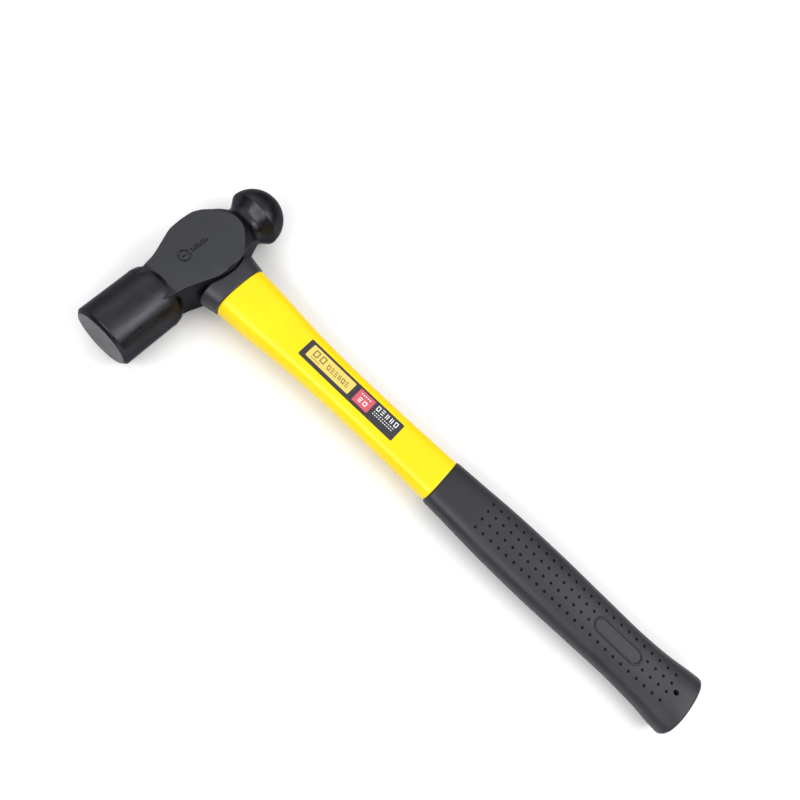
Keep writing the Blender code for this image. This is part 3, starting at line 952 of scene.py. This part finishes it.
def sheared(outline, lean):
    """An outline leaned along the label, as italic strokes are."""
    middle = (LABEL_Y[0] + LABEL_Y[1]) / 2
    return [(x + lean * (y - middle), y) for x, y in outline]


def figure(kind, start, width, across, weight):
    """One small plain figure of thin bars: a box, an upright pair or a stack of three."""
    near, far = across
    thin = weight / (LABEL_X[1] - LABEL_X[0])
    flat = weight / (LABEL_Y[1] - LABEL_Y[0])
    end = start + width
    middle = (near + far) / 2
    upper, lower = near + 1.1 * flat, far - 1.1 * flat    # the bars stop just short of each other
    ends = [((start, end), (near, near + flat)), ((start, end), (far - flat, far))]
    if kind == "box":
        bars = ends + [((start, start + thin), (upper, lower)), ((end - thin, end), (upper, lower))]
    elif kind == "stack":
        bars = ends + [((start, end), (middle - flat / 2, middle + flat / 2))]
    else:
        inset = 0.12 * width
        bars = [((start + inset, start + inset + thin), (near, far)),
                ((end - inset - thin, end - inset), (near, far))]
    return [label_box(along, depth, 0.22 * weight) for along, depth in bars]


def figure_row(kinds, start, pitch, width, across, weight):
    """A row of figures."""
    return [bar for place, kind in enumerate(kinds)
            for bar in figure(kind, start + pitch * place, width, across, weight)]


def dashes(starts, width, across):
    """A row of short dashes, as small print looks."""
    return [label_box((start, start + width), across, 0.00008) for start in starts]


def build_label():
    """The film, and on it plain generic print: panels, figures and dashes with no lettering."""
    film = wrapped(label_box((0, 1), (0, 1), 0.0006), FIT / 2, FILM_THICKNESS)
    add_piece("label_film", film, film_material("label_film", (0.019, 0.017, 0.024)),
              "size_label")

    ink_base = FIT / 2 + FILM_THICKNESS + PRINT_GAP
    second_base = ink_base + INK_THICKNESS + PRINT_GAP

    def printed(name, outlines, base, material):
        """One colour of print, as one piece."""
        meshes = [wrapped(outline, base, INK_THICKNESS) for outline in outlines]
        add_piece(name, joined_mesh(name, meshes), material, None)

    printed("label_panel", [label_box((0.046, 0.50), (0.127, 0.81), 0.0005)], ink_base,
            film_material("cream_ink", (0.66, 0.50, 0.105)))
    printed("label_size_block", [label_box((0.55, 0.71), (0.11, 0.84), 0.0002)], ink_base,
            film_material("red_ink", (0.52, 0.075, 0.105)))

    row = figure_row(("box", "stack", "stack", "pair", "box", "stack"), 0.238, 0.0385, 0.028,
                     (0.37, 0.62), 0.00046)
    emblem = figure_row(("box", "box"), 0.088, 0.070, 0.046, (0.25, 0.58), 0.00055)
    fine = dashes(np.arange(0.090, 0.185, 0.016), 0.010, (0.675, 0.715))
    dark = film_material("dark_ink", (0.060, 0.050, 0.022))
    printed("label_dark_print", [sheared(bar, -0.25) for bar in row] + emblem + fine,
            second_base, dark)

    white = film_material("white_ink", (0.86, 0.86, 0.88))
    figures = figure_row(("box", "stack", "pair", "pair", "box"), 0.745, 0.0465, 0.030,
                         (0.14, 0.40), 0.00044)
    lines = dashes(np.arange(0.745, 0.950, 0.0215), 0.012, (0.500, 0.532))
    lines += dashes(np.arange(0.745, 0.950, 0.0215), 0.012, (0.620, 0.652))
    printed("label_white_print", figures + lines, ink_base, white)
    block = dashes(np.arange(0.578, 0.675, 0.0215), 0.011, (0.245, 0.300))
    block += figure_row(("stack", "box"), 0.588, 0.050, 0.032, (0.46, 0.68), 0.00044)
    printed("label_block_print", block, second_base, white)


# ---------------------------------------------------------------- studio

def build_floor():
    """A pale floor, level under the poll and touching the butt, as the hammer lies."""
    butt_x = BUTT_ROUND_X
    butt_rise = POLL_RADIUS - GRIP_OUTLINE[-1][1] * GRIP_DEPTH_RATIO
    slope = math.atan2(butt_rise, butt_x)
    bpy.ops.mesh.primitive_plane_add(size=6.0)
    floor = bpy.context.object
    floor.name = "studio_floor"
    floor.location = (ORIGIN.x, 0, -0.0001)
    floor.rotation_euler = (0, -slope, 0)
    graph = Graph("pale_floor", (0.80, 0.80, 0.80), 0.7)
    cloud = graph.noise(2.5, detail=3.0)
    color = graph.mix(graph.spread(cloud, 0.3, 0.7), (0.790, 0.790, 0.792), (0.810, 0.810, 0.810))
    floor.data.materials.append(graph.finish(color))


def toward(azimuth, elevation):
    """Unit vector of a compass bearing from +X and a height above the floor, in degrees."""
    around, up = math.radians(azimuth), math.radians(elevation)
    return Vector((math.cos(around) * math.cos(up), math.sin(around) * math.cos(up), math.sin(up)))


def add_softbox(name, bearing, distance, size, radiance, target):
    """A rectangular soft box that faces a point of the hammer."""
    light = bpy.data.lights.new(name, "AREA")
    light.shape = "RECTANGLE"
    light.size, light.size_y = size
    light.energy = 4 * size[0] * size[1] * radiance
    lamp = bpy.data.objects.new(name, light)
    bpy.context.scene.collection.objects.link(lamp)
    lamp.location = target + bearing * distance
    lamp.rotation_euler = bearing.to_track_quat("Z", "Y").to_euler()


def build_lights():
    """A soft box on the face side, one on the butt side, a dim wide one behind the crown
    and a white dome overhead."""
    middle = Vector((0, 0, ORIGIN.z))
    add_softbox("face_side", toward(-95, 45), 1.2, (1.15, 0.42), 4.7, middle)
    add_softbox("butt_side", toward(21, 46), 2.4, (1.80, 1.16), 3.3, ORIGIN)
    add_softbox("crown_side", toward(158, 30), 1.3, (1.50, 1.30), 0.45, ORIGIN)
    world = bpy.data.worlds.new("dome")
    world.use_nodes = True
    tree = world.node_tree
    tree.nodes["Background"].inputs["Color"].default_value = (1, 1, 1, 1)
    place = tree.nodes.new("ShaderNodeTexCoord")
    parts = tree.nodes.new("ShaderNodeSeparateXYZ")
    ramp = tree.nodes.new("ShaderNodeMapRange")
    ramp.interpolation_type = "SMOOTHSTEP"
    for socket, limit in zip(("From Min", "From Max", "To Min", "To Max"), DOME_RAMP):
        ramp.inputs[socket].default_value = limit
    tree.links.new(place.outputs["Generated"], parts.inputs["Vector"])
    tree.links.new(parts.outputs["Z"], ramp.inputs["Value"])
    tree.links.new(ramp.outputs["Result"], tree.nodes["Background"].inputs["Strength"])
    bpy.context.scene.world = world
    bpy.context.scene.view_settings.view_transform = "Standard"


def build_camera():
    """A short lens close above the handle, turned so that the hammer lies corner to corner."""
    aim = ORIGIN + Vector((0.1375, 0.0199, 0.0))
    azimuth, elevation, roll = math.radians(4.40), math.radians(65.42), math.radians(39.28)
    distance, lens = 0.44975, 34.98
    back = Vector((math.sin(azimuth) * math.cos(elevation),
                   -math.cos(azimuth) * math.cos(elevation),
                   math.sin(elevation)))
    camera = bpy.data.objects.new("camera", bpy.data.cameras.new("camera"))
    bpy.context.scene.collection.objects.link(camera)
    camera.data.lens = lens
    camera.location = aim + back * distance
    turn = (-back).to_track_quat("-Z", "Y").to_matrix() @ Matrix.Rotation(roll, 3, "Z")
    camera.rotation_euler = turn.to_euler()
    bpy.context.scene.camera = camera


build_camera()
build_floor()
build_lights()
build_head()
build_resin()
build_core()
build_collar()
build_jacket()
build_grip()
build_label()
